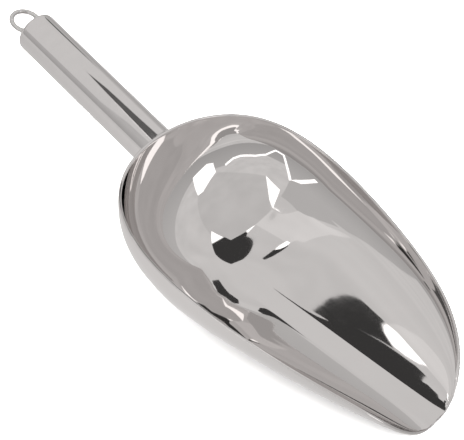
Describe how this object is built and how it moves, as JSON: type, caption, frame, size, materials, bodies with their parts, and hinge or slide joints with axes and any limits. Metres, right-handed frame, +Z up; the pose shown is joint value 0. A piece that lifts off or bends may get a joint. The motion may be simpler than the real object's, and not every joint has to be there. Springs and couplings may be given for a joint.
{
  "type": "ice scoop",
  "caption": "Ice scoop with a deep pressed steel bowl that narrows to a low rounded lip, a welded tube handle that rises to the back, and a wire loop to hang it by.",
  "frame": {"origin": "middle of the whole object's footprint, in the plane that the bowl's floor rests on", "axes": "+X forward along the scoop, from the hanging ring to the lip; +Y to the scoop's left; +Z up out of the bowl"},
  "size_m": [0.2882, 0.126, 0.071],
  "materials": {
    "mirror_steel": "mirror-polished stainless steel with no plating, fine polishing lines, lightly worn along the rim",
    "satin_steel": "finely polished stainless steel tube, softer than the bowl, with faint lines round the tube",
    "wire_steel": "drawn stainless steel wire, tumbled to a soft shine",
    "weld_steel": "dressed and buffed weld metal, duller than the sheet, with faint ripples"
  },
  "bodies": {
    "root": {"bowl": "mirror_steel", "bowl_weld": "weld_steel", "handle_tube": "satin_steel", "cap_seam_weld": "satin_steel", "handle_end_cap": "satin_steel", "hanging_ring": "wire_steel", "ring_weld_left": "weld_steel", "ring_weld_right": "weld_steel"}
  },
  "joints": []
}
